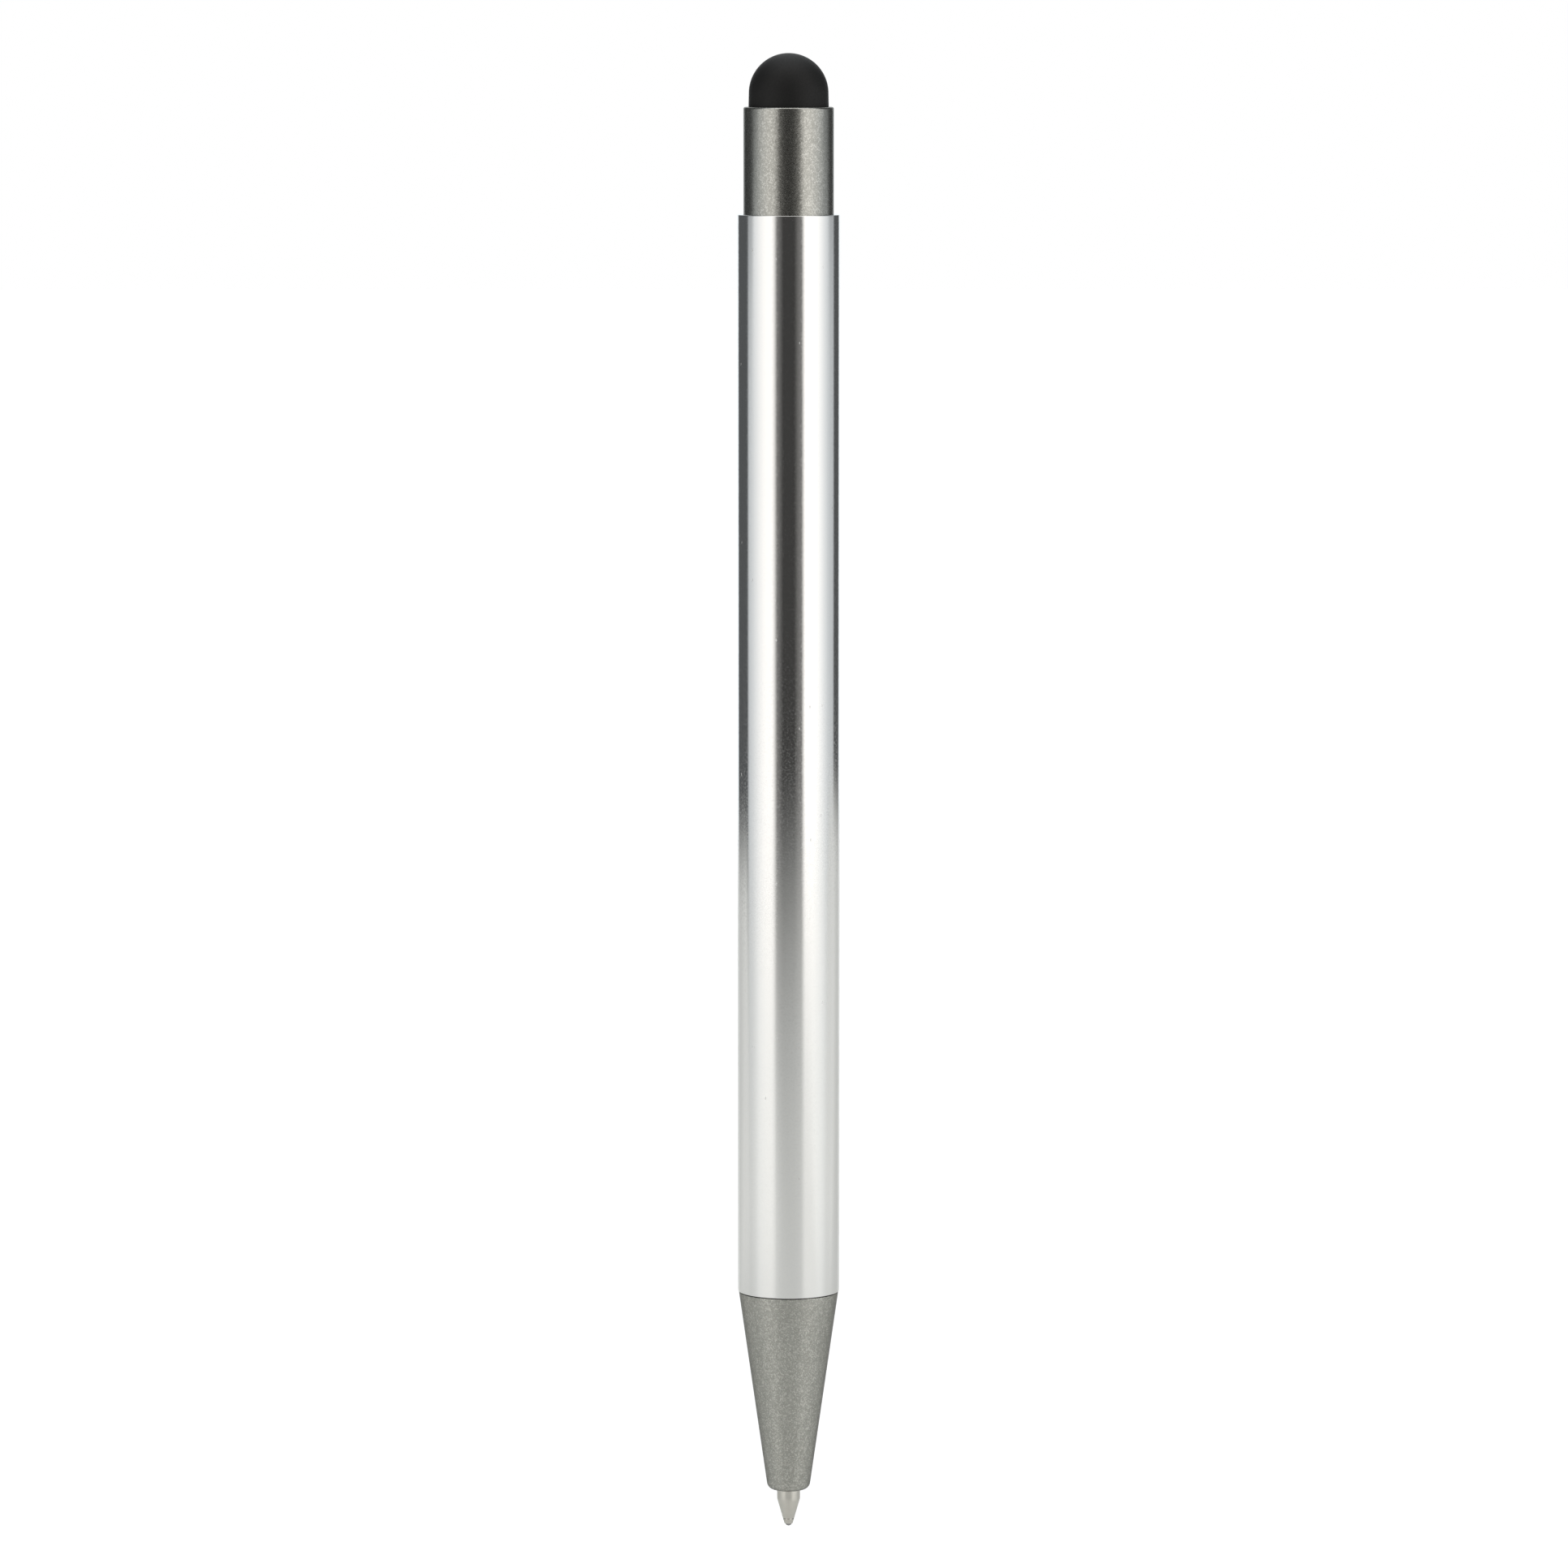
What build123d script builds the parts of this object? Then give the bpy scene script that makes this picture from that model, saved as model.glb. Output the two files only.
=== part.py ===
from build123d import *
import math
import os

# Push-button ballpoint pen with a stylus dome, in millimetres.
# The origin is where the extended ball meets the paper, and +Z runs up the pen to the stylus.

# Barrel
barrel_diameter = 10.0
barrel_wall = 0.55
barrel_length = 105.7
barrel_bevel = 0.08

# Nose cone and the bush that it screws into
nose_length = 19.9
nose_step = 0.10
nose_tip_diameter = 4.09
nose_tip_round_share = 0.75
nose_seat_depth = 5.4
nose_spigot_length = 7.0
bush_length = 8.0
bush_wall = 0.60
bush_bevel = 0.20

# Button sleeve, stylus dome and plug
sleeve_exposed = 10.38
sleeve_engagement = 15.0
sleeve_wall = 0.30
sleeve_rim_width = 0.49
sleeve_rim_thickness = 0.60
sleeve_bevel = 0.12
stylus_flare = 0.03
stylus_skirt = 1.335
stylus_wall = 0.90
stylus_flange = 0.80
stylus_cavity_share = 0.30
plug_recess = 1.0
plug_socket_depth = 8.0

# Travel of the button from its latched place, with the refill out
button_overtravel = 1.2
retract_travel = 5.0

# Click mechanism
cam_fin_count = 4
cam_angle = 35
cam_lead_share = 0.82
cam_fin_width = 1.5
cam_fin_height = 0.70
housing_wall = 0.65
housing_collar = 2.5
housing_margin = 1.5
plunger_fin_length = 2.5
plunger_crown_root = 0.30
plunger_crown_wall = 1.52
plunger_tooth_flat = 0.10
plunger_stem_shoulder = 0.50
plunger_bore_spare = 0.50
rotor_fin_length = 2.4
rotor_core_inset = 0.20
rotor_core_drop = 0.10
rotor_spigot_length = 3.0
rotor_skirt = 1.5
rotor_socket_depth = 1.6

# Refill
point_extension = 3.72
point_diameter = 2.28
point_taper_height = 2.80
point_crimp_diameter = 1.06
point_crimp_height = 0.65
point_lip_height = 0.26
point_lip_wall = 0.05
point_channel_diameter = 0.36
point_length = 11.5
point_shank_length = 5.0
ball_diameter = 0.70
refill_diameter = 3.0
refill_wall = 0.45
refill_ear_height = 23.0
refill_ear_length = 2.0
refill_ear_thickness = 0.70
refill_plug_head = 1.0
refill_plug_length = 5.0
refill_vent_diameter = 0.60
ink_fill_share = 0.78

# Return spring
spring_wire = 0.40
spring_wire_sides = 6
spring_turns = 8

# Clearances, each on the radius or on one side
press_clearance = 0.02
button_clearance = 0.07
cam_clearance = 0.08
cam_side_clearance = 0.15
cam_gap = 0.10
index_clearance = 0.20
stop_clearance = 0.30
point_clearance = 0.055
ball_clearance = 0.02
spring_clearance = 0.15
chamber_clearance = 0.20
seat_clearance = 0.02

# How far a cutter runs past what it cuts
cut_overrun = 1.0

# Radii of the barrel, the bush and the nose
barrel_radius = barrel_diameter / 2
barrel_bore = barrel_radius - barrel_wall
pressed_radius = barrel_bore - press_clearance
bush_bore = pressed_radius - bush_wall
nose_spigot_radius = bush_bore - press_clearance
nose_top_radius = barrel_radius - nose_step
nose_tip_radius = nose_tip_diameter / 2
point_radius = point_diameter / 2
nose_bore = point_radius + point_clearance

# Radii of the button
sleeve_radius = barrel_bore - button_clearance
sleeve_bore = sleeve_radius - sleeve_wall
stylus_base_radius = sleeve_radius - sleeve_rim_width
stylus_radius = stylus_base_radius - stylus_flare
stylus_bore = stylus_radius - stylus_wall
plug_radius = sleeve_bore - press_clearance
plug_post_radius = stylus_bore - press_clearance

# Radii of the click mechanism
groove_radius = pressed_radius - housing_wall
fin_radius = groove_radius - cam_clearance
crown_radius = fin_radius - cam_fin_height
rib_bore = crown_radius + cam_clearance
crown_bore = crown_radius - plunger_crown_wall
rotor_spigot_radius = crown_bore - cam_clearance
rotor_core_radius = crown_radius - rotor_core_inset
plunger_stem_radius = crown_radius - plunger_stem_shoulder

# Radii of the refill and the spring
ball_radius = ball_diameter / 2
refill_radius = refill_diameter / 2
refill_bore = refill_radius - refill_wall
refill_fill_radius = refill_bore - press_clearance
spring_radius = refill_radius + spring_clearance + spring_wire / 2
spring_outer_radius = spring_radius + spring_wire / 2
chamber_radius = spring_outer_radius + chamber_clearance

# Heights of the outer pieces
nose_bottom = point_extension
spring_seat = nose_bottom + nose_seat_depth
barrel_bottom = nose_bottom + nose_length
barrel_top = barrel_bottom + barrel_length
sleeve_top = barrel_top + sleeve_exposed
sleeve_bottom = barrel_top - sleeve_engagement
flange_top = sleeve_top - sleeve_rim_thickness
flange_bottom = flange_top - stylus_flange
dome_base = sleeve_top + stylus_skirt
plug_bottom = sleeve_bottom + plug_recess

# Cam angles: each fin turns from its groove to a latch notch half-way to the next groove
full_turn = 360
fin_pitch = full_turn / cam_fin_count
latch_angle = fin_pitch / 2
tooth_pitch = latch_angle
cam_slope = math.tan(math.radians(cam_angle))
fin_half = cam_fin_width / 2
groove_half = fin_half + cam_side_clearance
lead_angle = cam_lead_share * tooth_pitch / 2
valley_angle = math.degrees(math.asin(fin_half / crown_radius)) + lead_angle
wall_angle = latch_angle + math.degrees(math.asin(groove_half / groove_radius))

# Heights of the click mechanism, from the sleeve down to the refill's end
housing_top = sleeve_bottom - button_overtravel - stop_clearance
groove_top = housing_top - housing_collar
plunger_fin_top = groove_top - retract_travel - stop_clearance
plunger_fin_bottom = plunger_fin_top - plunger_fin_length
crown_valley = plunger_fin_bottom - plunger_crown_root
tooth_height = cam_slope * crown_radius * math.sin(math.radians(tooth_pitch / 2))
lead_height = cam_slope * crown_radius * math.sin(math.radians(lead_angle))
crown_ridge = crown_valley - tooth_height
crown_bottom = crown_ridge + plunger_tooth_flat
fin_lift = cam_slope * fin_half
fin_middle = crown_valley - lead_height - cam_gap - fin_lift
fin_low = fin_middle - fin_lift
fin_high = fin_middle + fin_lift
rib_tip = fin_high - button_overtravel + index_clearance
rotor_core_top = fin_low - rotor_core_drop
rotor_spigot_top = crown_valley + rotor_spigot_length
rotor_fin_bottom = fin_low - rotor_fin_length
rotor_bottom = rotor_fin_bottom - rotor_skirt
refill_end = rotor_bottom + rotor_socket_depth
housing_bottom = rotor_fin_bottom - button_overtravel - housing_margin

# Heights of the refill
refill_tube_top = refill_end - refill_plug_head
refill_plug_bottom = refill_tube_top - refill_plug_length
shank_top = point_length + point_shank_length
ink_top = shank_top + ink_fill_share * (refill_plug_bottom - shank_top)


def outline(*points):
    """A flat outline in the plane through the axis, from points of radius and height."""
    return Plane.XZ * make_face(Polyline(*points, close=True))


def corner(face, radius, height):
    """The corner of an outline that lies at a radius and height."""
    return face.vertices().sort_by_distance((radius, 0, height))[0]


def turned(face):
    """The solid that an outline makes when it turns about the axis."""
    return revolve(face, axis=Axis.Z)


def disc(radius, bottom, top):
    """A plain cylinder on the axis."""
    return Pos(0, 0, (bottom + top) / 2) * Cylinder(radius, top - bottom)


def ring(bore, radius, bottom, top):
    """A plain tube on the axis."""
    return turned(outline((bore, bottom), (radius, bottom), (radius, top), (bore, top)))


def radial_key(radius, *points):
    """A prism along +X from the axis, with a round outer face, from points across it and up it."""
    prism = extrude(Plane.YZ * make_face(Polyline(*points, close=True)), amount=radius)
    heights = [height for across, height in points]
    return prism & disc(radius, min(heights), max(heights))


def radial_bar(radius, half_width, bottom, top):
    """A straight-sided radial key."""
    low = [(-half_width, bottom), (half_width, bottom)]
    high = [(half_width, top), (-half_width, top)]
    return radial_key(radius, *low, *high)


def spread(shape, count, start):
    """Copies of a shape, evenly turned about the axis from a first angle."""
    return [Rot(0, 0, start + full_turn * index / count) * shape for index in range(count)]


def make_barrel_tube():
    face = outline(
        (barrel_bore, barrel_bottom),
        (barrel_radius, barrel_bottom),
        (barrel_radius, barrel_top),
        (barrel_bore, barrel_top),
    )
    rims = [corner(face, barrel_radius, barrel_bottom), corner(face, barrel_radius, barrel_top)]
    return turned(chamfer(rims, barrel_bevel))


def make_front_bush():
    face = outline(
        (bush_bore, barrel_bottom),
        (pressed_radius, barrel_bottom),
        (pressed_radius, barrel_bottom + bush_length),
        (bush_bore, barrel_bottom + bush_length),
    )
    lead_in = corner(face, pressed_radius, barrel_bottom + bush_length)
    return turned(chamfer(lead_in, bush_bevel))


def make_nose_cone():
    spigot_top = barrel_bottom + nose_spigot_length
    face = outline(
        (nose_bore, nose_bottom),
        (nose_tip_radius, nose_bottom),
        (nose_top_radius, barrel_bottom),
        (nose_spigot_radius, barrel_bottom),
        (nose_spigot_radius, spigot_top),
        (chamber_radius, spigot_top),
        (chamber_radius, spring_seat),
        (nose_bore, spring_seat),
    )
    # The tip's rounding takes a share of the rim between the cone and the bore.
    cone_angle = math.atan2(nose_top_radius - nose_tip_radius, nose_length)
    rounded_rim = nose_tip_round_share * (nose_tip_radius - nose_bore)
    tip_round = rounded_rim * math.tan(math.pi / 4 + cone_angle / 2)
    tip = corner(face, nose_tip_radius, nose_bottom)
    return turned(fillet(tip, tip_round))


def make_button_sleeve():
    rim_bore = stylus_base_radius + press_clearance
    face = outline(
        (sleeve_bore, sleeve_bottom),
        (sleeve_radius, sleeve_bottom),
        (sleeve_radius, sleeve_top),
        (rim_bore, sleeve_top),
        (rim_bore, flange_top),
        (sleeve_bore, flange_top),
    )
    return turned(chamfer(corner(face, sleeve_radius, sleeve_top), sleeve_bevel))


def make_stylus_tip():
    diagonal_share = math.sqrt(0.5)
    dome_top = dome_base + stylus_radius
    # The cavity's top narrows at 45 degrees to a small flat, inside the dome's even wall.
    cavity_radius = stylus_cavity_share * stylus_bore
    cavity_top = dome_base + stylus_bore - cavity_radius
    inside = Polyline(
        (0, dome_top),
        (0, cavity_top),
        (cavity_radius, cavity_top),
        (stylus_bore, dome_base),
        (stylus_bore, flange_bottom),
        (plug_radius, flange_bottom),
        (plug_radius, flange_top),
        (stylus_base_radius, flange_top),
        (stylus_base_radius, sleeve_top),
        (stylus_radius, dome_base),
    )
    dome = ThreePointArc(
        (stylus_radius, dome_base),
        (stylus_radius * diagonal_share, dome_base + stylus_radius * diagonal_share),
        (0, dome_top),
    )
    return turned(Plane.XZ * make_face(inside + dome))


def make_button_plug():
    socket_radius = plunger_stem_radius + press_clearance
    socket_top = plug_bottom + plug_socket_depth
    return turned(
        outline(
            (0, socket_top),
            (socket_radius, socket_top),
            (socket_radius, plug_bottom),
            (plug_radius, plug_bottom),
            (plug_radius, flange_bottom),
            (plug_post_radius, flange_bottom),
            (plug_post_radius, sleeve_top),
            (0, sleeve_top),
        )
    )


def make_cam_housing():
    shell = ring(groove_radius, pressed_radius, housing_bottom, housing_top)
    collar = ring(rib_bore, groove_radius, groove_top, housing_top)
    ribs = ring(rib_bore, groove_radius, rib_tip, groove_top)
    reach = groove_radius + cut_overrun
    groove = radial_bar(reach, groove_half, rib_tip - cut_overrun, groove_top + cut_overrun)
    # A fin that leaves its groove climbs this slope to the stop wall, and stays latched there.
    latch_start = (rib_tip - fin_middle) / cam_slope
    latch_notch = radial_key(
        reach,
        (latch_start, rib_tip),
        (latch_start, rib_tip - cut_overrun),
        (groove_half, rib_tip - cut_overrun),
        (groove_half, fin_middle + cam_slope * groove_half),
    )
    # The next press frees the fin, and this slope leads it into the next groove.
    release_slope = radial_key(
        reach,
        (0, rib_tip),
        (0, rib_tip - cut_overrun),
        (cam_fin_width, rib_tip - cut_overrun),
        (cam_fin_width, rib_tip + cam_slope * cam_fin_width),
    )
    ribs -= spread(groove, cam_fin_count, 0)
    ribs -= spread(latch_notch, cam_fin_count, latch_angle)
    ribs -= spread(release_slope, cam_fin_count, wall_angle)
    return shell + collar + ribs


def make_plunger_cam():
    stem_top = plug_bottom + plug_socket_depth - stop_clearance
    body = disc(crown_radius, crown_bottom, plug_bottom)
    stem = disc(plunger_stem_radius, plug_bottom, stem_top)
    fin = radial_bar(fin_radius, fin_half, plunger_fin_bottom, plunger_fin_top)
    bore = disc(crown_bore, crown_bottom - cut_overrun, rotor_spigot_top + plunger_bore_spare)
    # Each tooth gap is a V whose sides fall from the valley at the cam's slope.
    gap_half = cam_fin_width
    tooth_gap = radial_key(
        crown_radius + cut_overrun,
        (0, crown_valley),
        (-gap_half, crown_valley - cam_slope * gap_half),
        (gap_half, crown_valley - cam_slope * gap_half),
    )
    plunger = body + [stem] + spread(fin, cam_fin_count, 0)
    return plunger - [bore] - spread(tooth_gap, 2 * cam_fin_count, valley_angle)


def make_rotor_cam():
    core = disc(rotor_core_radius, rotor_bottom, rotor_core_top)
    spigot = disc(rotor_spigot_radius, rotor_core_top, rotor_spigot_top)
    fin = radial_key(
        fin_radius,
        (-fin_half, rotor_fin_bottom),
        (fin_half, rotor_fin_bottom),
        (fin_half, fin_high),
        (-fin_half, fin_low),
    )
    socket = disc(refill_radius + press_clearance, rotor_bottom - cut_overrun, refill_end)
    return core + [spigot] + spread(fin, cam_fin_count, 0) - socket


def make_refill_tube():
    tube = ring(refill_bore, refill_radius, point_length, refill_tube_top)
    ear_top = refill_ear_height + refill_ear_length
    ear = radial_bar(spring_outer_radius, refill_ear_thickness / 2, refill_ear_height, ear_top)
    ears = spread(ear, 2, 0)
    return tube + ears - disc(refill_bore, point_length, refill_tube_top)


def make_refill_end_plug():
    vent = refill_vent_diameter / 2
    return turned(
        outline(
            (vent, refill_plug_bottom),
            (refill_fill_radius, refill_plug_bottom),
            (refill_fill_radius, refill_tube_top),
            (refill_radius, refill_tube_top),
            (refill_radius, refill_end),
            (vent, refill_end),
        )
    )


def make_refill_ink():
    return disc(refill_fill_radius, shank_top, ink_top)


def make_refill_point():
    socket_radius = ball_radius + ball_clearance
    channel_radius = point_channel_diameter / 2
    crimp_radius = point_crimp_diameter / 2
    lip_radius = math.sqrt(socket_radius**2 - (ball_radius - point_lip_height) ** 2)
    socket_top = ball_radius + math.sqrt(socket_radius**2 - channel_radius**2)
    outside = Polyline(
        (channel_radius, socket_top),
        (channel_radius, shank_top),
        (refill_fill_radius, shank_top),
        (refill_fill_radius, point_length),
        (point_radius, point_length),
        (point_radius, point_taper_height),
        (crimp_radius, point_crimp_height),
        (lip_radius + point_lip_wall, point_lip_height),
        (lip_radius, point_lip_height),
    )
    socket = ThreePointArc(
        (lip_radius, point_lip_height),
        (socket_radius, ball_radius),
        (channel_radius, socket_top),
    )
    return turned(Plane.XZ * make_face(outside + socket))


def make_refill_ball():
    return Pos(0, 0, ball_radius) * Sphere(ball_radius)


def spring_place(turn, rise, bottom):
    """The wire's centre and direction after a number of turns."""
    angle = 2 * math.pi * turn
    across = spring_radius * math.cos(angle)
    along = spring_radius * math.sin(angle)
    place = Vector(across, along, bottom + rise * turn)
    heading = Vector(-along, across, rise / (2 * math.pi))
    return place, heading.normalized()


def biarc(start, start_way, end, end_way):
    """Two arcs that leave one point and reach another along given directions."""
    chord = end - start
    ways = start_way + end_way
    square = 2 * (1 - start_way.dot(end_way))
    reach_part = chord.dot(ways)
    reach = (math.sqrt(reach_part**2 + square * chord.dot(chord)) - reach_part) / square
    middle = (start + start_way * reach + end - end_way * reach) / 2
    first = Edge.make_tangent_arc(start, start_way, middle)
    return [first, Edge.make_tangent_arc(middle, first.tangent_at(1), end)]


def print_spring_gap(edges):
    """Prints the least gap between one turn of wire and the next, measured on points along the wire."""
    edge_shares = (0, 0.25, 0.5, 0.75)
    points = [edge.position_at(share) for edge in edges for share in edge_shares]
    half_turn = 2 * len(edge_shares)
    pairs = ((a, b) for index, a in enumerate(points) for b in points[index + half_turn :])
    least = min((a - b).length for a, b in pairs) - spring_wire
    print(f"return_spring least gap to itself: {least:.2f} mm")


def make_return_spring():
    bottom = spring_seat + seat_clearance + spring_wire / 2
    top = refill_ear_height - seat_clearance - spring_wire / 2
    rise = (top - bottom) / spring_turns
    half_turns = range(2 * spring_turns + 1)
    places = [spring_place(half_turn / 2, rise, bottom) for half_turn in half_turns]
    edges = []
    for (start, start_way), (end, end_way) in zip(places, places[1:]):
        edges += biarc(start, start_way, end, end_way)
    print_spring_gap(edges)
    first_place, first_way = places[0]
    wire_end = Plane(origin=first_place, z_dir=first_way)
    section = wire_end * RegularPolygon(spring_wire / 2, spring_wire_sides)
    return sweep(section, path=Wire(edges))


pieces = {
    "barrel_tube": make_barrel_tube(),
    "front_bush": make_front_bush(),
    "nose_cone": make_nose_cone(),
    "cam_housing": make_cam_housing(),
    "return_spring": make_return_spring(),
    "button_sleeve": make_button_sleeve(),
    "stylus_tip": make_stylus_tip(),
    "button_plug": make_button_plug(),
    "plunger_cam": make_plunger_cam(),
    "rotor_cam": make_rotor_cam(),
    "refill_tube": make_refill_tube(),
    "refill_end_plug": make_refill_end_plug(),
    "refill_ink": make_refill_ink(),
    "refill_point": make_refill_point(),
    "refill_ball": make_refill_ball(),
}

os.makedirs("parts", exist_ok=True)
for name, piece in pieces.items():
    export_step(piece, f"parts/{name}.step")
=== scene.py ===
import math

import bmesh
import bpy
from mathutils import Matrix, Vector


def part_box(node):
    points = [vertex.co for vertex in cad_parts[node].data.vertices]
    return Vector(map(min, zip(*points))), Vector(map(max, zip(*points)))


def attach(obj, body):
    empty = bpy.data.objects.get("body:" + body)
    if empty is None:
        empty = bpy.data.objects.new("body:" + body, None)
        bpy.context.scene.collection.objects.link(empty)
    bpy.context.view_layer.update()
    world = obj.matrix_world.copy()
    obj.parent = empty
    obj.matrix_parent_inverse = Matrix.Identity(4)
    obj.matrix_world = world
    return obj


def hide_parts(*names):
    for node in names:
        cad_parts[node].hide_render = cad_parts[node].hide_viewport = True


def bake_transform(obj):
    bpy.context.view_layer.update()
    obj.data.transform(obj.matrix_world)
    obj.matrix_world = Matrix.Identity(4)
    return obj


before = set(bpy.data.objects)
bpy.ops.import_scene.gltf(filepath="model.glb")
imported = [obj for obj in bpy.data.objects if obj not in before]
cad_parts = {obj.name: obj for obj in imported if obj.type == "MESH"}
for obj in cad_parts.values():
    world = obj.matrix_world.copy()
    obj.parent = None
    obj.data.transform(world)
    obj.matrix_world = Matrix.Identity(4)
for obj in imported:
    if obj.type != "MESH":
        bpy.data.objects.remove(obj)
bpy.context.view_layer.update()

# Camera: a long lens a little above the pen, tilted down at its middle, in metres
camera_place = (-0.00045, -0.7024, 0.15086)
camera_target = (-0.00045, 0.0, 0.07377)
camera_lens_mm = 165.9
camera_sensor_mm = 36.0

# Edges of the turned pieces, in metres
bore_edge = 0.00004
barrel_edge = 0.00006
joint_gap = 0.00009
joint_edge = 0.00004
nose_tip_radius = 0.002045
nose_tip_round = 0.00072
nose_seat = 0.00912
sleeve_lip = 0.00018

# Stylus dome, in metres, with its cavity's flat top as a share of the bore
stylus_flange = 0.00080
stylus_skirt = 0.001335
stylus_cavity_share = 0.30

# Thread on the nose's spigot, in metres
thread_pitch = 0.00050
thread_depth = 0.00012
thread_tolerance = 0.00001
thread_rings_per_turn = 8

# Writing point, in metres: its heights are measured from the ball's lowest place at rest
point_taper_height = 0.00276
point_taper_edge = 0.00008
point_groove_height = 0.00076
point_groove_width = 0.00010
point_groove_depth = 0.00004
point_crimp_radius = 0.00053
point_crimp_height = 0.00065
point_crimp_edge = 0.00030
ball_clearance = 0.00002

# Return spring, in metres: its end turns lie closed and only the live turns between them are drawn out
spring_wire_radius = 0.00020
spring_radius = 0.00185
spring_dead_turns = 1
spring_live_turns = 8
spring_closed_pitch = 0.00042
spring_steps_per_turn = 48
spring_wire_sides = 14

# How finely round forms are divided
fine_segments = 256
plain_segments = 128
arc_steps = 8
dome_steps = 48
socket_steps = 16
ball_steps = 32
sharp_angle = math.radians(34)

# Finishes: texture scales are cells per metre, bump heights are metres and pairs run from low to high
noise_range = (0.3, 0.7)
noise_detail = 3.0
fine_detail = 2.0
noise_roughness = 0.55
along_axis = (1, 1, 0.02)
round_axis = (0.02, 0.02, 1)
hard_bump_height = 0.00001
soft_bump_height = 0.00002

# Polished barrel: a haze in grains, faint drawing marks and a few specks
polish_tones = ((0.90, 0.905, 0.91, 1), (0.94, 0.94, 0.935, 1))
polish_cloud_scale = 60.0
polish_grain_scale = 5000.0
polish_grain_range = (0.35, 0.7)
polish_grain_haze = (0.045, 0.15)
polish_grain_bump = 0.07
draw_mark_scale = 9000.0
draw_mark_haze = (0.0, 0.02)
speck_scale = 900.0
speck_stretch = (1, 1, 0.5)
speck_threshold = 0.8
speck_edge = (0.05, 0.10)
speck_haze = 0.35

# Lacquer: metal flakes that lean and shine by different amounts, over a fine grain and a broad mottle
lacquer_tones = ((0.36, 0.36, 0.336, 1), (0.70, 0.70, 0.665, 1))
lacquer_edge_tint = (0.45, 0.45, 0.45, 1)
lacquer_roughness = (0.22, 0.28)
flake_scale = 9500.0
flake_middle = (0.5, 0.5, 0.5)
flake_tilt = 0.04
glint_range = (0.45, 1.0)
glint_share = (0.0, 0.55)
lacquer_grain_scale = 14000.0
lacquer_grain_share = (0.0, 0.3)
lacquer_mottle_scale = 1600.0
lacquer_mottle_share = (-0.06, 0.06)

# Rubber, turned metals and moulded plastics
rubber_tones = ((0.005, 0.005, 0.0052, 1), (0.008, 0.008, 0.0083, 1))
rubber_roughness = (0.53, 0.67)
rubber_shine = 0.36
rubber_cloud_scale = 400.0
rubber_pore_scale = 12000.0
rubber_pore_bump = 0.25
stain_scale = 1500.0
turned_roughness_swing = 0.05
plastic_flow_scale = 500.0
plastic_skin_scale = 9000.0
plastic_skin_bump = 0.15
plastic_roughness_swing = 0.06

# Studio: two softboxes beside the camera, a white sheet behind the pen and a soft ceiling.
# Directions are degrees round the pen from the camera's side, and degrees above the horizon.
# Pairs are the left and the right softbox, which are tall by the camera and low at their far ends.
box_inner_edges = (30, 32.5)
box_inner_softness = (9, 7)
box_outer_edges = (104.5, 122)
box_outer_softness = (5, 6)
box_fade_from = (45, 50)
box_fade_to = (110, 115)
box_drop_from = (40, 50)
box_drop_to = (100, 115)
box_near_strengths = (1.14, 1.28)
box_far_strength = 0.58
box_near_top = 55
box_far_top = 3
box_near_bottom = -40
box_far_bottom = -13
box_end_softness = 5
spill_from = 4
spill_to = 30
spill_strength = 0.20
backdrop_edge = 153
backdrop_softness = 4
backdrop_strength = 1.0
backdrop_tone = (1, 1, 1, 1)
front_gap_strength = 0.048
back_gap_strength = 0.09
ceiling_from = 40
ceiling_to = 75
ceiling_strength = 1.5
warm_tint = (1.0, 0.975, 0.94, 1)
cool_tint = (0.94, 0.98, 1.0, 1)

# Floor: a pale sheet that ends softly round the pen, nearer in front than behind, in metres.
# It lies just under the ball's lowest place, where the button is pressed in.
floor_half_size = 3.0
floor_drop = 0.0013
floor_tone = (0.94, 0.94, 0.91, 1)
floor_roughness = 0.32
floor_middle = (0.06, 0.0, 0.0)
floor_front_fade = (0.06, 0.74)
floor_back_fade = (0.49, 0.71)
floor_seen_tone = (0.45, 0.45, 0.45, 1)
floor_seen_glow = 0.74

# The floor's glow in the polish is painted light, a stand-in for the softboxes' sheen on the floor.
# Turns run from -1 in front of the pen, by 0 beside it, to 1 behind it.
floor_front_glow = 0.13
floor_side_glow = 0.15
floor_back_glows = (0.06, 0.19)
floor_side_edge = 0.05
floor_glow_fade = (0.05, 0.16)
fade_turns = (0.0, 0.4)
glow_rise_turns = (-0.95, -0.6)
glow_fall_turns = (0.5, 1.0)
glow_side_turns = (-0.1, 0.3)
glow_back_turns = (0.35, 0.65)


def ring_radii(node, height):
    """The least and greatest radius of a CAD node's corners at a height."""
    near = 1e-6
    corners = [v.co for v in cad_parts[node].data.vertices]
    radii = [math.hypot(c.x, c.y) for c in corners if abs(c.z - height) < near]
    return min(radii), max(radii)


def rounded(corners):
    """An outline of radius and height, from corners that each have a rounding radius."""
    points = []
    count = len(corners)
    for index, (radius, height, rounding) in enumerate(corners):
        corner = Vector((radius, height))
        if rounding == 0:
            points.append(corner)
            continue
        before = Vector(corners[index - 1][:2]) - corner
        after = Vector(corners[(index + 1) % count][:2]) - corner
        before.normalize()
        after.normalize()
        half = before.angle(after) / 2
        centre = corner + (before + after).normalized() * (rounding / math.sin(half))
        start = corner + before * (rounding / math.tan(half)) - centre
        end = corner + after * (rounding / math.tan(half)) - centre
        turn = math.atan2(start.x * end.y - start.y * end.x, start.dot(end))
        for step in range(arc_steps + 1):
            angle = turn * step / arc_steps
            across = start.x * math.cos(angle) - start.y * math.sin(angle)
            up = start.x * math.sin(angle) + start.y * math.cos(angle)
            points.append(centre + Vector((across, up)))
    return points


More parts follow.
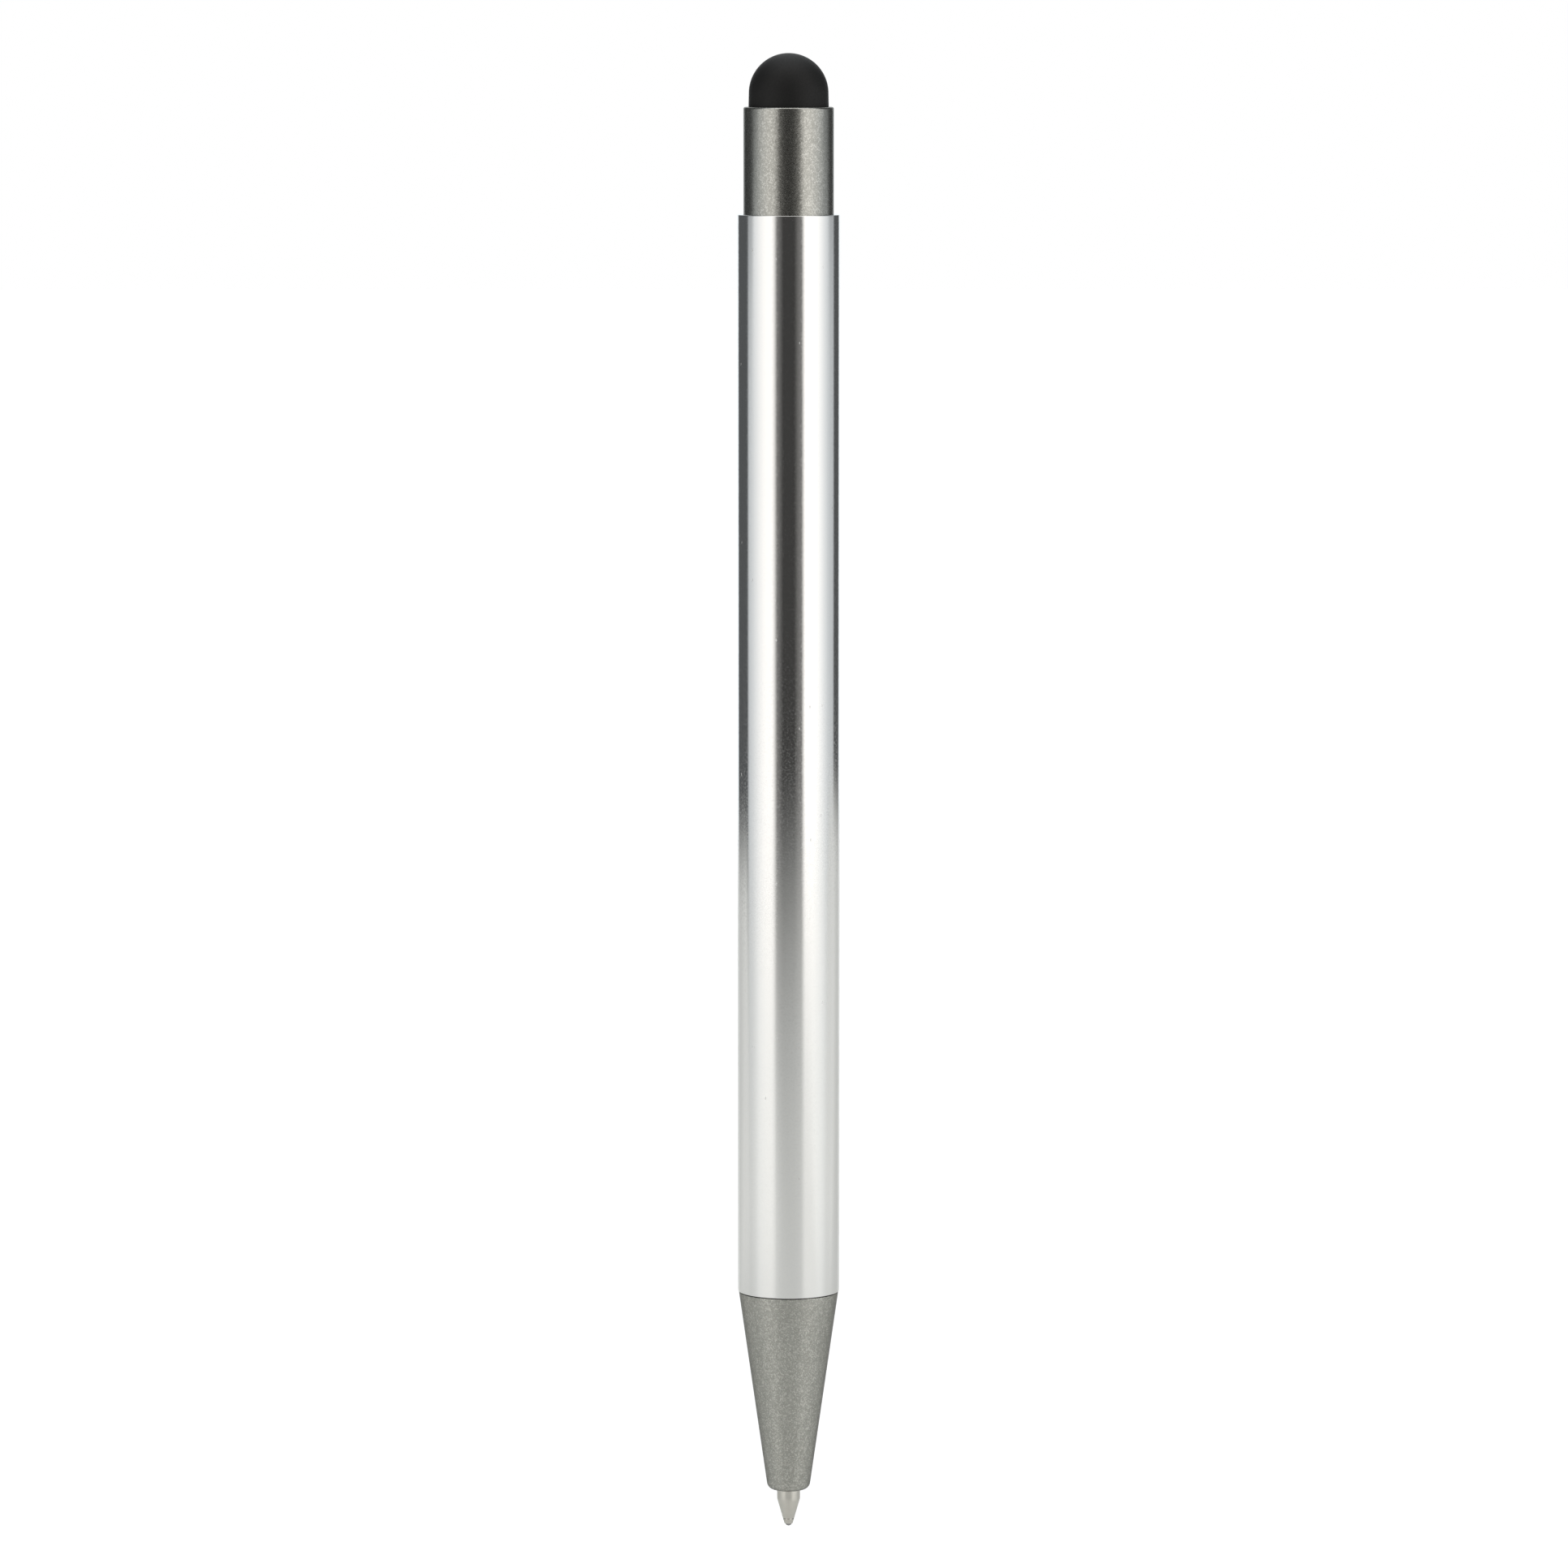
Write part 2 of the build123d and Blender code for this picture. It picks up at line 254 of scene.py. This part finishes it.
def finish_mesh(name, work):
    """A smooth object from a bmesh, with its sharp edges kept."""
    bmesh.ops.recalc_face_normals(work, faces=work.faces)
    mesh = bpy.data.meshes.new(name)
    work.to_mesh(mesh)
    work.free()
    mesh.polygons.foreach_set("use_smooth", [True] * len(mesh.polygons))
    mesh.set_sharp_from_angle(angle=sharp_angle)
    piece = bpy.data.objects.new(name, mesh)
    bpy.context.scene.collection.objects.link(piece)
    return piece


def lathe(name, outline, segments, relief=None):
    """A closed form turned about the axis. Relief gives a radius from a radius, height and turn."""
    on_axis = 1e-9
    work = bmesh.new()
    rings = []
    for radius, height in outline:
        if radius < on_axis:
            rings.append([work.verts.new((0, 0, height))])
            continue
        ring = []
        for segment in range(segments):
            turn = segment / segments
            angle = 2 * math.pi * turn
            reach = relief(radius, height, turn) if relief else radius
            ring.append(work.verts.new((reach * math.cos(angle), reach * math.sin(angle), height)))
        rings.append(ring)
    ends_on_axis = len(rings[0]) == 1 and len(rings[-1]) == 1
    pairs = zip(rings, rings[1:] if ends_on_axis else rings[1:] + rings[:1])
    for low, high in pairs:
        for segment in range(segments):
            following = (segment + 1) % segments
            if len(low) == 1:
                work.faces.new((low[0], high[following], high[segment]))
            elif len(high) == 1:
                work.faces.new((low[segment], low[following], high[0]))
            else:
                work.faces.new((low[segment], low[following], high[following], high[segment]))
    return finish_mesh(name, work)


def make_barrel():
    low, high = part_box("barrel_tube")
    bore, _ = ring_radii("barrel_tube", low.z)
    outline = rounded([
        (bore, low.z, bore_edge),
        (high.x, low.z, barrel_edge),
        (high.x, high.z, barrel_edge),
        (bore, high.z, bore_edge),
    ])
    return lathe("barrel_polished", outline, fine_segments)


def make_nose():
    low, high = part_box("nose_cone")
    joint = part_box("barrel_tube")[0].z
    bore, _ = ring_radii("nose_cone", low.z)
    chamber, spigot = ring_radii("nose_cone", high.z)
    outline = rounded([
        (bore, low.z, bore_edge),
        (nose_tip_radius, low.z, nose_tip_round),
        (high.x, joint - joint_gap, joint_edge),
        (spigot, joint - joint_gap, 0),
        (spigot, high.z, bore_edge),
        (chamber, high.z, bore_edge),
        (chamber, nose_seat, 0),
        (bore, nose_seat, 0),
    ])
    thread_bottom = joint + thread_pitch
    thread_top = high.z - thread_pitch
    turns = (thread_top - thread_bottom) / thread_pitch
    count = round(turns * thread_rings_per_turn)
    step = (thread_top - thread_bottom) / count
    thread = [Vector((spigot, thread_bottom + step * index)) for index in range(count + 1)]
    shoulder = Vector((spigot, joint - joint_gap))
    place = min(range(len(outline)), key=lambda index: (outline[index] - shoulder).length)
    outline[place + 1 : place + 1] = thread

    def cut_thread(radius, height, turn):
        if abs(radius - spigot) > thread_tolerance or not thread_bottom < height < thread_top:
            return radius
        phase = (height / thread_pitch - turn) % 1
        return radius - thread_depth * (1 - abs(2 * phase - 1))

    return lathe("nose_lacquered", outline, plain_segments, cut_thread)


def make_sleeve():
    low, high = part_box("button_sleeve")
    bore, _ = ring_radii("button_sleeve", low.z)
    rim, _ = ring_radii("button_sleeve", high.z)
    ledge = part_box("stylus_tip")[0].z + stylus_flange
    outline = rounded([
        (bore, low.z, bore_edge),
        (high.x, low.z, bore_edge),
        (high.x, high.z, sleeve_lip),
        (rim, high.z, bore_edge),
        (rim, ledge, 0),
        (bore, ledge, 0),
    ])
    return lathe("sleeve_lacquered", outline, fine_segments)


def make_dome():
    low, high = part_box("stylus_tip")
    sleeve_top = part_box("button_sleeve")[1].z
    ledge = low.z + stylus_flange
    bore, flange = ring_radii("stylus_tip", low.z)
    _, base = ring_radii("stylus_tip", sleeve_top)
    skirt_top = sleeve_top + stylus_skirt
    radius = high.z - skirt_top
    cavity = stylus_cavity_share * bore
    cavity_top = skirt_top + bore - cavity
    corners = [(0, cavity_top), (cavity, cavity_top), (bore, skirt_top), (bore, low.z)]
    corners += [(flange, low.z), (flange, ledge), (base, ledge), (base, sleeve_top)]
    outline = [Vector(corner) for corner in corners]
    for step in range(dome_steps + 1):
        angle = math.pi / 2 * step / dome_steps
        outline.append(Vector((radius * math.cos(angle), skirt_top + radius * math.sin(angle))))
    outline[-1].x = 0
    return lathe("stylus_dome", outline, plain_segments)


def make_point():
    low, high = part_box("refill_point")
    ball_low, ball_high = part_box("refill_ball")
    step_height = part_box("refill_tube")[0].z
    lip, lip_outside = ring_radii("refill_point", low.z)
    channel, shank = ring_radii("refill_point", high.z)
    slope = (high.x - point_crimp_radius) / (point_taper_height - point_crimp_height)
    groove_radius = point_crimp_radius + slope * (point_groove_height - point_crimp_height)
    groove_half = point_groove_width / 2
    outline = rounded([
        (channel, high.z, 0),
        (shank, high.z, 0),
        (shank, step_height, 0),
        (high.x, step_height, bore_edge),
        (high.x, point_taper_height, point_taper_edge),
        (groove_radius + slope * groove_half, point_groove_height + groove_half, 0),
        (groove_radius - point_groove_depth, point_groove_height, 0),
        (groove_radius - slope * groove_half, point_groove_height - groove_half, 0),
        (point_crimp_radius, point_crimp_height, point_crimp_edge),
        (lip_outside, low.z, 0),
    ])
    centre = (ball_low.z + ball_high.z) / 2
    socket = ball_high.z - centre + ball_clearance
    start = math.acos(lip / socket)
    end = math.acos(channel / socket)
    for step in range(socket_steps + 1):
        angle = -start + (start + end) * step / socket_steps
        outline.append(Vector((socket * math.cos(angle), centre + socket * math.sin(angle))))
    return lathe("point_turned", outline, plain_segments)


def make_ball():
    low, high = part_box("refill_ball")
    radius = (high.z - low.z) / 2
    outline = []
    for step in range(ball_steps + 1):
        turn = math.pi * step / ball_steps
        outline.append(Vector((radius * math.sin(turn), low.z + radius * (1 - math.cos(turn)))))
    outline[-1].x = 0
    return lathe("ball_lapped", outline, plain_segments)


def make_spring():
    low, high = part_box("return_spring")
    turns = spring_live_turns + 2 * spring_dead_turns
    bottom = low.z + spring_wire_radius
    top = high.z - spring_wire_radius
    closed = spring_dead_turns * spring_closed_pitch
    work = bmesh.new()
    rings = []
    steps = turns * spring_steps_per_turn
    for step in range(steps + 1):
        turn = step / spring_steps_per_turn
        if turn < spring_dead_turns:
            height = bottom + spring_closed_pitch * turn
        elif turn > turns - spring_dead_turns:
            height = top - spring_closed_pitch * (turns - turn)
        else:
            share = (turn - spring_dead_turns) / spring_live_turns
            height = bottom + closed + (top - bottom - 2 * closed) * share
        angle = 2 * math.pi * turn
        out = Vector((math.cos(angle), math.sin(angle), 0))
        middle = out * spring_radius + Vector((0, 0, height))
        ring = []
        for side in range(spring_wire_sides):
            swing = 2 * math.pi * side / spring_wire_sides
            offset = out * math.cos(swing) + Vector((0, 0, math.sin(swing)))
            ring.append(work.verts.new(middle + offset * spring_wire_radius))
        rings.append(ring)
    for first, second in zip(rings, rings[1:]):
        for side in range(spring_wire_sides):
            following = (side + 1) % spring_wire_sides
            work.faces.new((first[side], first[following], second[following], second[side]))
    work.faces.new(rings[0])
    work.faces.new(rings[-1])
    return finish_mesh("spring_wound", work)


class Nodes:
    """Adds shader nodes to a tree, with each input set to a value or linked to a socket."""

    def __init__(self, tree):
        self.tree = tree
        tree.nodes.clear()

    def add(self, kind, inputs=None, **settings):
        node = self.tree.nodes.new(kind)
        for key, value in settings.items():
            setattr(node, key, value)
        for key, value in (inputs or {}).items():
            if isinstance(value, bpy.types.NodeSocket):
                self.tree.links.new(value, node.inputs[key])
            else:
                node.inputs[key].default_value = value
        return node.outputs

    def math(self, operation, *values):
        return self.add("ShaderNodeMath", dict(enumerate(values)), operation=operation)[0]

    def vector(self, operation, *values):
        return self.add("ShaderNodeVectorMath", dict(enumerate(values)), operation=operation)[0]

    def scaled(self, vector, scale):
        return self.add("ShaderNodeVectorMath", {0: vector, "Scale": scale}, operation="SCALE")[0]

    def length(self, vector):
        return self.add("ShaderNodeVectorMath", {0: vector}, operation="LENGTH")["Value"]

    def span(self, value, low, high, start=0.0, end=1.0, smooth=True):
        """A value carried from one range to another, with soft or straight ends."""
        inputs = {"Value": value, "From Min": low, "From Max": high, "To Min": start, "To Max": end}
        kind = "SMOOTHSTEP" if smooth else "LINEAR"
        return self.add("ShaderNodeMapRange", inputs, interpolation_type=kind)["Result"]

    def noise(self, place, scale, detail=noise_detail):
        inputs = {"Vector": place, "Scale": scale, "Detail": detail, "Roughness": noise_roughness}
        return self.add("ShaderNodeTexNoise", inputs)["Fac"]

    def cells(self, place, scale):
        return self.add("ShaderNodeTexVoronoi", {"Vector": place, "Scale": scale})

    def channel(self, colour, name):
        return self.add("ShaderNodeSeparateColor", {"Color": colour})[name]

    def mix(self, share, first, second):
        """A colour between two colours."""
        return self.add("ShaderNodeMix", {0: share, 6: first, 7: second}, data_type="RGBA")[2]

    def between(self, share, first, second):
        """A number between two numbers."""
        return self.add("ShaderNodeMix", {0: share, 2: first, 3: second}, data_type="FLOAT")[0]

    def stretch(self, place, scale):
        return self.add("ShaderNodeMapping", {"Vector": place, "Scale": scale})[0]

    def bump(self, relief, strength, height):
        inputs = {"Height": relief, "Strength": strength, "Distance": height}
        return self.add("ShaderNodeBump", inputs)[0]


def new_material(name):
    material = bpy.data.materials.new(name)
    material.use_nodes = True
    nodes = Nodes(material.node_tree)
    place = nodes.add("ShaderNodeTexCoord")["Object"]
    return material, nodes, place


def close_material(nodes, inputs):
    shader = nodes.add("ShaderNodeBsdfPrincipled", inputs)[0]
    nodes.add("ShaderNodeOutputMaterial", {"Surface": shader})


def polished_aluminium():
    material, nodes, place = new_material("polished_aluminium")
    cloud = nodes.noise(place, polish_cloud_scale)
    drawn = nodes.noise(nodes.stretch(place, along_axis), draw_mark_scale, fine_detail)
    grain = nodes.noise(place, polish_grain_scale, fine_detail)
    colour = nodes.mix(cloud, *polish_tones)
    cells = nodes.cells(nodes.stretch(place, speck_stretch), speck_scale)
    chosen = nodes.math("GREATER_THAN", nodes.channel(cells["Color"], "Red"), speck_threshold)
    specks = nodes.math("MULTIPLY", nodes.span(cells["Distance"], *speck_edge, 1.0, 0.0), chosen)
    grain_haze = nodes.span(grain, *polish_grain_range, *polish_grain_haze)
    drawn_haze = nodes.span(drawn, *noise_range, *draw_mark_haze)
    haze = nodes.math("ADD", grain_haze, drawn_haze)
    roughness = nodes.math("ADD", haze, nodes.math("MULTIPLY", specks, speck_haze))
    normal = nodes.bump(grain, polish_grain_bump, hard_bump_height)
    inputs = {"Base Color": colour, "Metallic": 1.0, "Roughness": roughness, "Normal": normal}
    close_material(nodes, inputs)
    return material


def gunmetal_lacquer():
    material, nodes, place = new_material("gunmetal_lacquer")
    flakes = nodes.cells(place, flake_scale)
    grain = nodes.noise(place, lacquer_grain_scale, fine_detail)
    mottle = nodes.noise(place, lacquer_mottle_scale)
    glints = nodes.span(nodes.channel(flakes["Color"], "Blue"), *glint_range, *glint_share)
    grain_share = nodes.span(grain, *noise_range, *lacquer_grain_share)
    mottle_share = nodes.span(mottle, *noise_range, *lacquer_mottle_share)
    ground = nodes.math("ADD", grain_share, mottle_share)
    colour = nodes.mix(nodes.math("ADD", ground, glints), *lacquer_tones)
    lean = nodes.scaled(nodes.vector("SUBTRACT", flakes["Color"], flake_middle), flake_tilt)
    surface = nodes.add("ShaderNodeNewGeometry")["Normal"]
    normal = nodes.vector("NORMALIZE", nodes.vector("ADD", surface, lean))
    roughness = nodes.span(grain, *noise_range, *lacquer_roughness)
    inputs = {"Base Color": colour, "Metallic": 1.0, "Roughness": roughness, "Normal": normal}
    inputs["Specular Tint"] = lacquer_edge_tint
    close_material(nodes, inputs)
    return material


def stylus_rubber():
    material, nodes, place = new_material("stylus_rubber")
    cloud = nodes.noise(place, rubber_cloud_scale)
    pores = nodes.noise(place, rubber_pore_scale)
    colour = nodes.mix(cloud, *rubber_tones)
    roughness = nodes.span(pores, *noise_range, *rubber_roughness)
    normal = nodes.bump(pores, rubber_pore_bump, soft_bump_height)
    inputs = {"Base Color": colour, "Roughness": roughness, "Normal": normal}
    inputs["Specular IOR Level"] = rubber_shine
    close_material(nodes, inputs)
    return material


def turned_metal(name, dark, light, rough, groove_scale, groove_bump):
    material, nodes, place = new_material(name)
    grooves = nodes.noise(nodes.stretch(place, round_axis), groove_scale)
    colour = nodes.mix(nodes.noise(place, stain_scale), dark, light)
    swing = turned_roughness_swing
    roughness = nodes.span(grooves, *noise_range, rough - swing, rough + swing)
    normal = nodes.bump(grooves, groove_bump, hard_bump_height)
    inputs = {"Base Color": colour, "Metallic": 1.0, "Roughness": roughness, "Normal": normal}
    close_material(nodes, inputs)
    return material


def moulded_plastic(name, dark, light, rough, transmission=0.0):
    material, nodes, place = new_material(name)
    skin = nodes.noise(place, plastic_skin_scale)
    colour = nodes.mix(nodes.noise(place, plastic_flow_scale), dark, light)
    swing = plastic_roughness_swing
    roughness = nodes.span(skin, *noise_range, rough - swing, rough + swing)
    normal = nodes.bump(skin, plastic_skin_bump, soft_bump_height)
    inputs = {"Base Color": colour, "Roughness": roughness, "Normal": normal}
    inputs["Transmission Weight"] = transmission
    close_material(nodes, inputs)
    return material


def paint(piece, material):
    piece.data.materials.clear()
    piece.data.materials.append(material)


def make_floor():
    """A plain white floor to the camera, and a faded sheet with a soft painted glow in the polish."""
    mesh = bpy.data.meshes.new("floor")
    half = floor_half_size
    low = -floor_drop
    corners = [(-half, -half, low), (half, -half, low), (half, half, low), (-half, half, low)]
    mesh.from_pydata(corners, [], [(0, 1, 2, 3)])
    floor = bpy.data.objects.new("floor", mesh)
    bpy.context.scene.collection.objects.link(floor)
    material, nodes, place = new_material("floor")
    rays = nodes.add("ShaderNodeLightPath")
    offset = nodes.vector("SUBTRACT", place, floor_middle)
    distance = nodes.length(offset)
    axes = nodes.add("ShaderNodeSeparateXYZ", {0: offset})
    turn = nodes.math("DIVIDE", axes["Y"], distance)

    behind = nodes.span(turn, *fade_turns)
    fade_from = nodes.span(behind, 0.0, 1.0, floor_front_fade[0], floor_back_fade[0])
    fade_to = nodes.span(behind, 0.0, 1.0, floor_front_fade[1], floor_back_fade[1])
    shown = nodes.span(distance, fade_from, fade_to, 1.0, 0.0)

    # Painted light: an emission that only glossy rays see, standing in for the softboxes' sheen on the
    # floor
    risen = nodes.span(turn, *glow_rise_turns)
    fallen = nodes.span(turn, *glow_fall_turns)
    aside = nodes.math("SUBTRACT", risen, fallen)
    side_glow = nodes.span(turn, *glow_side_turns, floor_front_glow, floor_side_glow)
    back_glow = nodes.span(axes["X"], -floor_side_edge, floor_side_edge, *floor_back_glows)
    round_glow = nodes.between(nodes.span(turn, *glow_back_turns), side_glow, back_glow)
    away = nodes.span(nodes.length(place), *floor_glow_fade)
    glow = nodes.math("MULTIPLY", nodes.math("MULTIPLY", aside, round_glow), away)

    inputs = {"Base Color": floor_tone, "Roughness": floor_roughness, "Emission Color": floor_tone}
    inputs["Emission Strength"] = nodes.math("MULTIPLY", glow, rays["Is Glossy Ray"])
    sheet = nodes.add("ShaderNodeBsdfPrincipled", inputs)[0]
    clear = nodes.add("ShaderNodeBsdfTransparent")[0]
    faded = nodes.add("ShaderNodeMixShader", {0: shown, 1: clear, 2: sheet})[0]
    shade = nodes.add("ShaderNodeBsdfDiffuse", {"Color": floor_seen_tone})[0]
    plain = nodes.add("ShaderNodeEmission", {"Strength": floor_seen_glow})[0]
    white = nodes.add("ShaderNodeAddShader", {0: shade, 1: plain})[0]
    surface = nodes.add("ShaderNodeMixShader", {0: rays["Is Camera Ray"], 1: faded, 2: white})[0]
    nodes.add("ShaderNodeOutputMaterial", {"Surface": surface})
    paint(floor, material)


def make_studio():
    """A plain white backdrop to the camera, and a lit studio in everything that mirrors it."""
    world = bpy.data.worlds.new("studio")
    world.use_nodes = True
    bpy.context.scene.world = world
    nodes = Nodes(world.node_tree)
    way = nodes.add("ShaderNodeTexCoord")["Generated"]
    axes = nodes.add("ShaderNodeSeparateXYZ", {0: way})
    towards = nodes.math("MULTIPLY", axes["Y"], -1.0)
    bearing = nodes.math("DEGREES", nodes.math("ARCTAN2", axes["X"], towards))
    aside = nodes.math("ABSOLUTE", bearing)
    raised = nodes.math("DEGREES", nodes.math("ARCSINE", axes["Z"]))
    is_right = nodes.math("GREATER_THAN", bearing, 0.0)

    def by_side(pair):
        return nodes.span(is_right, 0.0, 1.0, *pair, smooth=False)

    def past(value, edge, softness):
        steps = nodes.math("DIVIDE", nodes.math("SUBTRACT", value, edge), softness)
        return nodes.span(steps, -1.0, 1.0)

    far = nodes.span(aside, by_side(box_fade_from), by_side(box_fade_to))
    drop = nodes.span(aside, by_side(box_drop_from), by_side(box_drop_to))
    past_inner = past(aside, by_side(box_inner_edges), by_side(box_inner_softness))
    past_outer = past(aside, by_side(box_outer_edges), by_side(box_outer_softness))
    across = nodes.math("MULTIPLY", past_inner, nodes.math("SUBTRACT", 1.0, past_outer))
    bottom = nodes.span(far, 0.0, 1.0, box_near_bottom, box_far_bottom)
    top = nodes.span(drop, 0.0, 1.0, box_near_top, box_far_top)
    past_bottom = past(raised, bottom, box_end_softness)
    past_top = past(raised, top, box_end_softness)
    upright = nodes.math("SUBTRACT", past_bottom, past_top)
    strength = nodes.span(far, 0.0, 1.0, by_side(box_near_strengths), box_far_strength, smooth=False)
    boxes = nodes.math("MULTIPLY", nodes.math("MULTIPLY", across, upright), strength)

    near = nodes.math("SUBTRACT", 1.0, far)
    spill = nodes.math("MULTIPLY", nodes.span(aside, spill_from, spill_to, 0.0, spill_strength), near)
    backdrop = nodes.math("MULTIPLY", past(aside, backdrop_edge, backdrop_softness), backdrop_strength)
    gaps = nodes.span(far, 0.0, 1.0, front_gap_strength, back_gap_strength)
    lights = nodes.math("MAXIMUM", nodes.math("MAXIMUM", boxes, spill), backdrop)
    walls = nodes.math("MAXIMUM", lights, gaps)
    light = nodes.between(nodes.span(raised, ceiling_from, ceiling_to), walls, ceiling_strength)
    tint = nodes.mix(far, warm_tint, cool_tint)

    lit = nodes.add("ShaderNodeBackground", {"Color": tint, "Strength": light})[0]
    white_inputs = {"Color": backdrop_tone, "Strength": backdrop_strength}
    white = nodes.add("ShaderNodeBackground", white_inputs)[0]
    seen = nodes.add("ShaderNodeLightPath")["Is Camera Ray"]
    surface = nodes.add("ShaderNodeMixShader", {0: seen, 1: lit, 2: white})[0]
    nodes.add("ShaderNodeOutputWorld", {"Surface": surface})


def make_camera():
    lens = bpy.data.cameras.new("camera")
    lens.lens = camera_lens_mm
    lens.sensor_width = camera_sensor_mm
    camera = bpy.data.objects.new("camera", lens)
    bpy.context.scene.collection.objects.link(camera)
    camera.location = camera_place
    view = Vector(camera_target) - Vector(camera_place)
    camera.rotation_euler = view.to_track_quat("-Z", "Y").to_euler()
    bpy.context.scene.camera = camera


def dress(piece, body, node, material):
    """Puts a piece in a CAD node's place, on its body and with its finish."""
    paint(piece, material)
    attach(piece, body)
    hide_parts(node)


aluminium = polished_aluminium()
gunmetal = gunmetal_lacquer()
rubber = stylus_rubber()
brass = turned_metal(
    "bush_brass",
    dark=(0.62, 0.44, 0.18, 1),
    light=(0.76, 0.58, 0.28, 1),
    rough=0.30,
    groove_scale=9000.0,
    groove_bump=0.35,
)
steel = turned_metal(
    "spring_steel",
    dark=(0.50, 0.50, 0.50, 1),
    light=(0.64, 0.64, 0.65, 1),
    rough=0.28,
    groove_scale=7000.0,
    groove_bump=0.35,
)
nickel = turned_metal(
    "nickel_silver",
    dark=(0.68, 0.665, 0.62, 1),
    light=(0.78, 0.765, 0.72, 1),
    rough=0.22,
    groove_scale=6000.0,
    groove_bump=0.06,
)
carbide = turned_metal(
    "ball_carbide",
    dark=(0.36, 0.36, 0.37, 1),
    light=(0.46, 0.46, 0.47, 1),
    rough=0.18,
    groove_scale=9000.0,
    groove_bump=0.10,
)
black = moulded_plastic(
    "cam_plastic",
    dark=(0.012, 0.012, 0.013, 1),
    light=(0.022, 0.022, 0.024, 1),
    rough=0.45,
)
natural = moulded_plastic(
    "refill_plastic",
    dark=(0.72, 0.72, 0.68, 1),
    light=(0.82, 0.82, 0.79, 1),
    rough=0.30,
    transmission=0.35,
)
ink = moulded_plastic(
    "ink",
    dark=(0.004, 0.006, 0.03, 1),
    light=(0.008, 0.012, 0.05, 1),
    rough=0.20,
)

dress(make_barrel(), "barrel", "barrel_tube", aluminium)
dress(make_nose(), "barrel", "nose_cone", gunmetal)
dress(make_sleeve(), "button", "button_sleeve", gunmetal)
dress(make_dome(), "button", "stylus_tip", rubber)
dress(make_point(), "refill", "refill_point", nickel)
dress(make_ball(), "ball", "refill_ball", carbide)

spring = make_spring()
paint(spring, steel)
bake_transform(spring)
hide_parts("return_spring")

kept_nodes = {
    "front_bush": brass,
    "cam_housing": black,
    "button_plug": black,
    "plunger_cam": black,
    "rotor_cam": black,
    "refill_tube": natural,
    "refill_end_plug": natural,
    "refill_ink": ink,
}
for name, material in kept_nodes.items():
    paint(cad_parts[name], material)

make_floor()
make_studio()
make_camera()
bpy.context.scene.view_settings.view_transform = "Standard"
